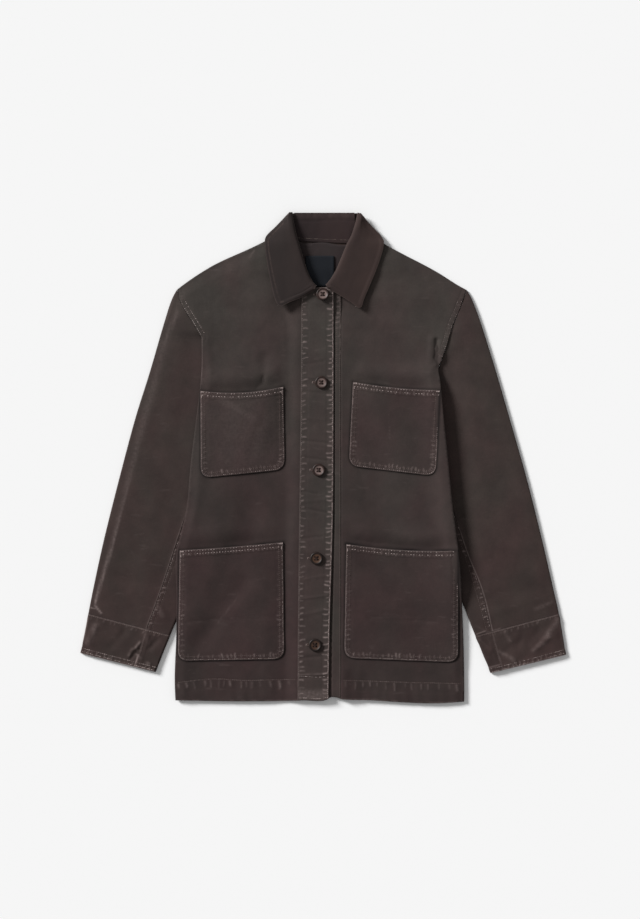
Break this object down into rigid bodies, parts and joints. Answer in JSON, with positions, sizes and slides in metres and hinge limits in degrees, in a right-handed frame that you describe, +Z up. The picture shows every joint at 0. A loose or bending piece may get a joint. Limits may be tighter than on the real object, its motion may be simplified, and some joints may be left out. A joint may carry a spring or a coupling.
{
  "type": "chore jacket",
  "caption": "Button-front canvas chore jacket laid flat, with a pointed collar, long sleeves with cuffs and patch pockets at the chest and hips.",
  "frame": {"origin": "middle of the laid garment's footprint, on the surface it lies on", "axes": "+Z up from the surface, towards the fronts; +Y towards the collar; +X towards the wearer's left sleeve"},
  "size_m": [0.7273, 0.7354, 0.0158],
  "materials": {
    "canvas_body": "garment-dyed cotton canvas, washed",
    "canvas_placket": "garment-dyed cotton canvas, rubbed at the stitching",
    "canvas_sleeve": "garment-dyed cotton canvas, washed",
    "canvas_pocket": "garment-dyed cotton canvas, rubbed at the edges",
    "collar_cloth": "brushed cotton",
    "collar_inner": "brushed cotton",
    "label_cloth": "woven ribbon, bare",
    "button_light": "dyed nut, half matt",
    "button_dark": "dyed nut, half matt"
  },
  "bodies": {
    "root": {"back": "canvas_body", "front_right": "canvas_body", "front_left": "canvas_body", "button_band": "canvas_placket", "placket": "canvas_placket", "sleeve_top_right": "canvas_sleeve", "sleeve_under_right": "canvas_sleeve", "cuff_right": "canvas_sleeve", "sleeve_top_left": "canvas_sleeve", "sleeve_under_left": "canvas_sleeve", "cuff_left": "canvas_sleeve", "collar_leaf_right": "collar_cloth", "collar_leaf_left": "collar_cloth", "collar_fall_back": "collar_cloth", "collar_stand": "collar_inner", "neck_label": "label_cloth", "pocket_chest_right": "canvas_pocket", "pocket_chest_left": "canvas_pocket", "pocket_hip_right": "canvas_pocket", "pocket_hip_left": "canvas_pocket", "button_1": "button_light", "button_2": "button_light", "button_3": "button_light", "button_4": "button_dark", "button_5": "button_dark"}
  },
  "joints": []
}
